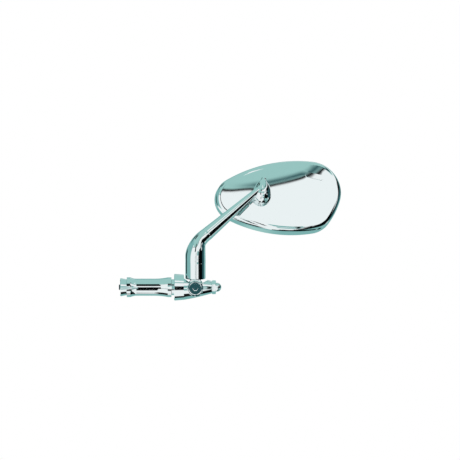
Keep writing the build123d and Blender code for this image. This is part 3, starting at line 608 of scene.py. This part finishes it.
class MIRROR_OT_studio(bpy.types.Operator):
    """Build the floor, the reflected tent, the light and the camera"""

    bl_idname = "mirror.studio"
    bl_label = "Studio"

    def execute(self, context):
        studio = context.scene.mirror_studio
        low, high = CAD_BOX
        centre = (low + high) / 2
        self.tent(studio, centre)
        self.floor(studio)
        self.light(context, studio, centre)
        self.camera(context, studio)
        context.scene.view_settings.view_transform = "Standard"
        return {"FINISHED"}

    def tent(self, studio, centre):
        """Round white tent with coloured cloths, seen only in reflections."""
        columns, rows = 360 // TENT_STEP, 180 // TENT_STEP
        points = [direction(column * TENT_STEP, row * TENT_STEP - 90) * studio.tent_radius
                  for row in range(1, rows) for column in range(columns)]
        points += [direction(0, -90) * studio.tent_radius, direction(0, 90) * studio.tent_radius]
        bottom, top = len(points) - 2, len(points) - 1
        last = (rows - 2) * columns
        faces = []
        for column in range(columns):
            beside = (column + 1) % columns
            faces.append((bottom, beside, column))
            faces.append((top, last + column, last + beside))
            for low in range(0, last, columns):
                high = low + columns
                faces.append((low + column, low + beside, high + beside, high + column))
        piece = stage_mesh("tent", points, faces, self.tent_cloth(studio))
        piece.location = centre
        piece.visible_camera = False
        piece.visible_diffuse = False
        piece.visible_transmission = False
        piece.visible_volume_scatter = False
        piece.visible_shadow = False

    def tent_cloth(self, studio):
        """Lit cloth: even white, with each cloth of the list in its place."""
        material = bpy.data.materials.new("tent cloth")
        material.use_nodes = True
        tree = material.node_tree
        tree.nodes.clear()
        place = add_node(tree, "ShaderNodeTexCoord").outputs["Object"]
        outward = add_node(tree, "ShaderNodeVectorMath", {0: place}, operation="NORMALIZE").outputs["Vector"]
        split = add_node(tree, "ShaderNodeSeparateXYZ", {"Vector": outward})
        front = add_node(tree, "ShaderNodeMath", {0: split.outputs["Y"], 1: -1.0}, operation="MULTIPLY")
        around = add_node(tree, "ShaderNodeMath", {0: split.outputs["X"], 1: front.outputs[0]},
                          operation="ARCTAN2")
        above = add_node(tree, "ShaderNodeMath", {0: split.outputs["Z"]}, operation="ARCSINE")
        azimuth = add_node(tree, "ShaderNodeMath", {0: around.outputs[0]}, operation="DEGREES").outputs[0]
        elevation = add_node(tree, "ShaderNodeMath", {0: above.outputs[0]}, operation="DEGREES").outputs[0]
        shade = studio.white
        for name, tone, azimuths, elevations, rise, soft in CLOTHS:
            cover = self.cover(tree, azimuth, elevation, azimuths, elevations, rise, soft)
            shade = add_node(tree, "ShaderNodeMix",
                             {MIX_FACTOR: cover, MIX_A: shade, MIX_B: getattr(studio, tone)},
                             data_type="RGBA", label=name).outputs[MIX_RESULT]
        glow = add_node(tree, "ShaderNodeEmission", {"Color": shade, "Strength": 1.0})
        add_node(tree, "ShaderNodeOutputMaterial", {"Surface": glow.outputs[0]})
        return material

    def cover(self, tree, azimuth, elevation, azimuths, elevations, rise, soft):
        """How far a cloth covers the tent at an azimuth and an elevation."""
        middle = (azimuths[0] + azimuths[1]) / 2
        height = (elevations[0] + elevations[1]) / 2
        moved = add_node(tree, "ShaderNodeMath", {0: azimuth, 1: middle}, operation="SUBTRACT")
        aside = add_node(tree, "ShaderNodeMath", {0: moved.outputs[0], 1: 180.0, 2: -180.0}, operation="WRAP")
        level = add_node(tree, "ShaderNodeMath", {0: aside.outputs[0], 1: -rise, 2: elevation},
                         operation="MULTIPLY_ADD")
        above = add_node(tree, "ShaderNodeMath", {0: level.outputs[0], 1: height}, operation="SUBTRACT")
        covers = []
        for offset, span, edge in ((aside, azimuths, soft[0]), (above, elevations, soft[1])):
            reach = (span[1] - span[0]) / 2
            away = add_node(tree, "ShaderNodeMath", {0: offset.outputs[0]}, operation="ABSOLUTE")
            covers.append(add_node(tree, "ShaderNodeMapRange",
                                   {"Value": away.outputs[0], "From Min": reach - edge / 2,
                                    "From Max": reach + edge / 2, "To Min": 1.0, "To Max": 0.0},
                                   interpolation_type="SMOOTHSTEP").outputs["Result"])
        return add_node(tree, "ShaderNodeMath", {0: covers[0], 1: covers[1]}, operation="MULTIPLY").outputs[0]

    def floor(self, studio):
        """Round floor under the mirror, of white paper: matt, with a faint tooth of its fibres."""
        material, tree, shader, place = new_material("white paper")
        fibres = add_node(tree, "ShaderNodeTexNoise", {"Vector": place, "Scale": 1 / studio.fibre,
                                                       "Detail": 3.0})
        bump = add_node(tree, "ShaderNodeBump", {"Height": fibres.outputs["Fac"],
                                                 "Distance": studio.fibre_height})
        set_inputs(tree, shader, {"Base Color": studio.white, "Roughness": 0.9,
                                  "Normal": bump.outputs["Normal"]})
        turns = [math.tau * i / FLOOR_SIDES for i in range(FLOOR_SIDES)]
        points = [(studio.floor_radius * math.cos(a), studio.floor_radius * math.sin(a), -studio.floor_drop)
                  for a in turns]
        piece = stage_mesh("floor", points, [range(FLOOR_SIDES)], material)
        piece.visible_glossy = False

    def light(self, context, studio, centre):
        """White surroundings, dimmer for matt surfaces, and a soft lamp above that makes up for it."""
        world = bpy.data.worlds.new("white surroundings")
        world.use_nodes = True
        tree = world.node_tree
        tree.nodes.clear()
        path = add_node(tree, "ShaderNodeLightPath")
        level = add_node(tree, "ShaderNodeMapRange", {"Value": path.outputs["Is Diffuse Ray"],
                                                      "To Min": 1.0, "To Max": studio.matt_level})
        back = add_node(tree, "ShaderNodeBackground", {"Color": studio.white,
                                                       "Strength": level.outputs["Result"]})
        add_node(tree, "ShaderNodeOutputWorld", {"Surface": back.outputs[0]})
        context.scene.world = world
        data = bpy.data.lights.new("soft lamp", "AREA")
        data.size = studio.lamp_size
        data.energy = studio.lamp_power
        lamp = bpy.data.objects.new("soft lamp", data)
        context.scene.collection.objects.link(lamp)
        out = direction(math.degrees(studio.lamp_azimuth), math.degrees(studio.lamp_elevation))
        lamp.location = centre + out * studio.lamp_distance
        lamp.rotation_euler = out.to_track_quat("Z", "Y").to_euler()
        lamp.visible_glossy = False
        lamp.visible_camera = False

    def camera(self, context, studio):
        """Long lens a little above the bar, square to it."""
        data = bpy.data.cameras.new("camera")
        camera = bpy.data.objects.new("camera", data)
        context.scene.collection.objects.link(camera)
        context.scene.camera = camera
        back = direction(0, math.degrees(studio.elevation))
        up = Vector((0, math.sin(studio.elevation), math.cos(studio.elevation)))
        target = Vector((studio.look_x, 0, 0)) + up * studio.look_up
        camera.location = target + back * studio.distance
        camera.rotation_euler = back.to_track_quat("Z", "Y").to_euler()
        data.lens = data.sensor_width * studio.distance / (PICTURE * studio.pixel)


class MIRROR_PT_panel(bpy.types.Panel):
    """Lists the steps that dress the mirror"""

    bl_idname = "MIRROR_PT_panel"
    bl_label = "Bar-end mirror"
    bl_space_type = "VIEW_3D"
    bl_region_type = "UI"
    bl_category = "Mirror"

    def draw(self, context):
        for operator in OPERATORS:
            self.layout.operator(operator.bl_idname)


OPERATORS = (MIRROR_OT_castings, MIRROR_OT_head, MIRROR_OT_sleeve, MIRROR_OT_fasteners, MIRROR_OT_draw_gear,
             MIRROR_OT_bearings, MIRROR_OT_glazing, MIRROR_OT_studio)
CLASSES = (MirrorFinishes, MirrorThread, MirrorStudio, *OPERATORS, MIRROR_PT_panel)


def register():
    """Register the classes and the scene's settings."""
    for cls in CLASSES:
        bpy.utils.register_class(cls)
    bpy.types.Scene.mirror_finishes = PointerProperty(type=MirrorFinishes)
    bpy.types.Scene.mirror_thread = PointerProperty(type=MirrorThread)
    bpy.types.Scene.mirror_studio = PointerProperty(type=MirrorStudio)


def unregister():
    """Remove what register added."""
    del bpy.types.Scene.mirror_studio
    del bpy.types.Scene.mirror_thread
    del bpy.types.Scene.mirror_finishes
    for cls in reversed(CLASSES):
        bpy.utils.unregister_class(cls)


def main():
    """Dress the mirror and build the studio."""
    register()
    bpy.ops.mirror.castings()
    bpy.ops.mirror.head()
    bpy.ops.mirror.sleeve()
    bpy.ops.mirror.fasteners()
    bpy.ops.mirror.draw_gear()
    bpy.ops.mirror.bearings()
    bpy.ops.mirror.glazing()
    bpy.ops.mirror.studio()


if __name__ == "__main__":
    main()
